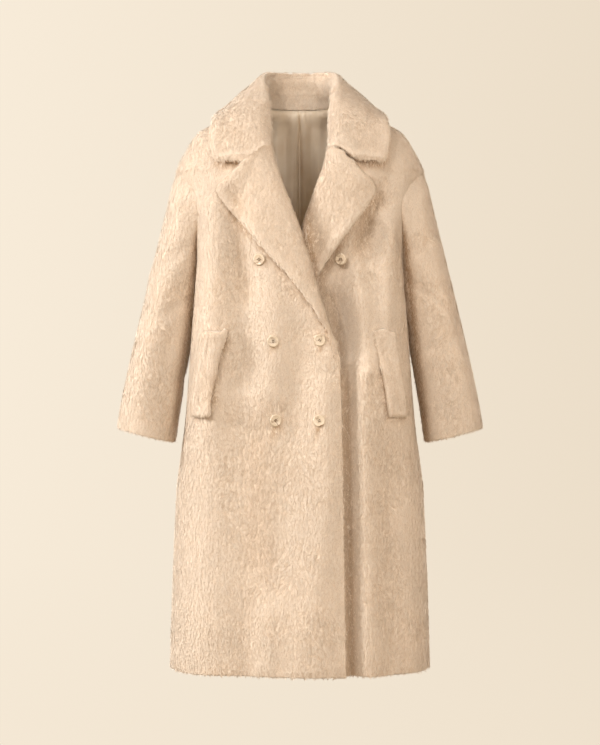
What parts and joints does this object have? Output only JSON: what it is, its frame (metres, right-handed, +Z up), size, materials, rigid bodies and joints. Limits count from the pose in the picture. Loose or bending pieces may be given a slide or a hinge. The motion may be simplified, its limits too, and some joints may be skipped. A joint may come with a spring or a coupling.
{
  "type": "double-breasted faux fur coat",
  "caption": "Long double-breasted coat in curly faux fur with a wide notched collar, drop shoulders and slanted welt pockets, hollow and filled out as if worn.",
  "frame": {"origin": "the middle of the neck opening at the height of the back neck seam, where the coat hangs on its wearer; its height is that of the back neck seam and its depth that of the shoulder seams", "axes": "+Z up, +X towards the wearer's left, the front faces -Y"},
  "size_m": [0.7218, 0.3101, 1.1798],
  "materials": {
    "fur": "cream faux fur with a short curly pile",
    "lining": "light beige satin, softly gathered, with a centre pleat",
    "button": "mottled ivory and brown, polished"
  },
  "bodies": {
    "root": {"back": "fur", "front_right": "fur", "front_left": "fur", "sleeve_left": "fur", "sleeve_right": "fur", "lapel_right": "fur", "lapel_left": "fur", "collar": "fur", "collar_stand": "fur", "pocket_welt_right": "fur", "pocket_welt_left": "fur", "lining_back": "lining", "button_right_top": "button", "button_left_top": "button", "button_right_middle": "button", "button_left_middle": "button", "button_right_low": "button", "button_left_low": "button"}
  },
  "joints": []
}
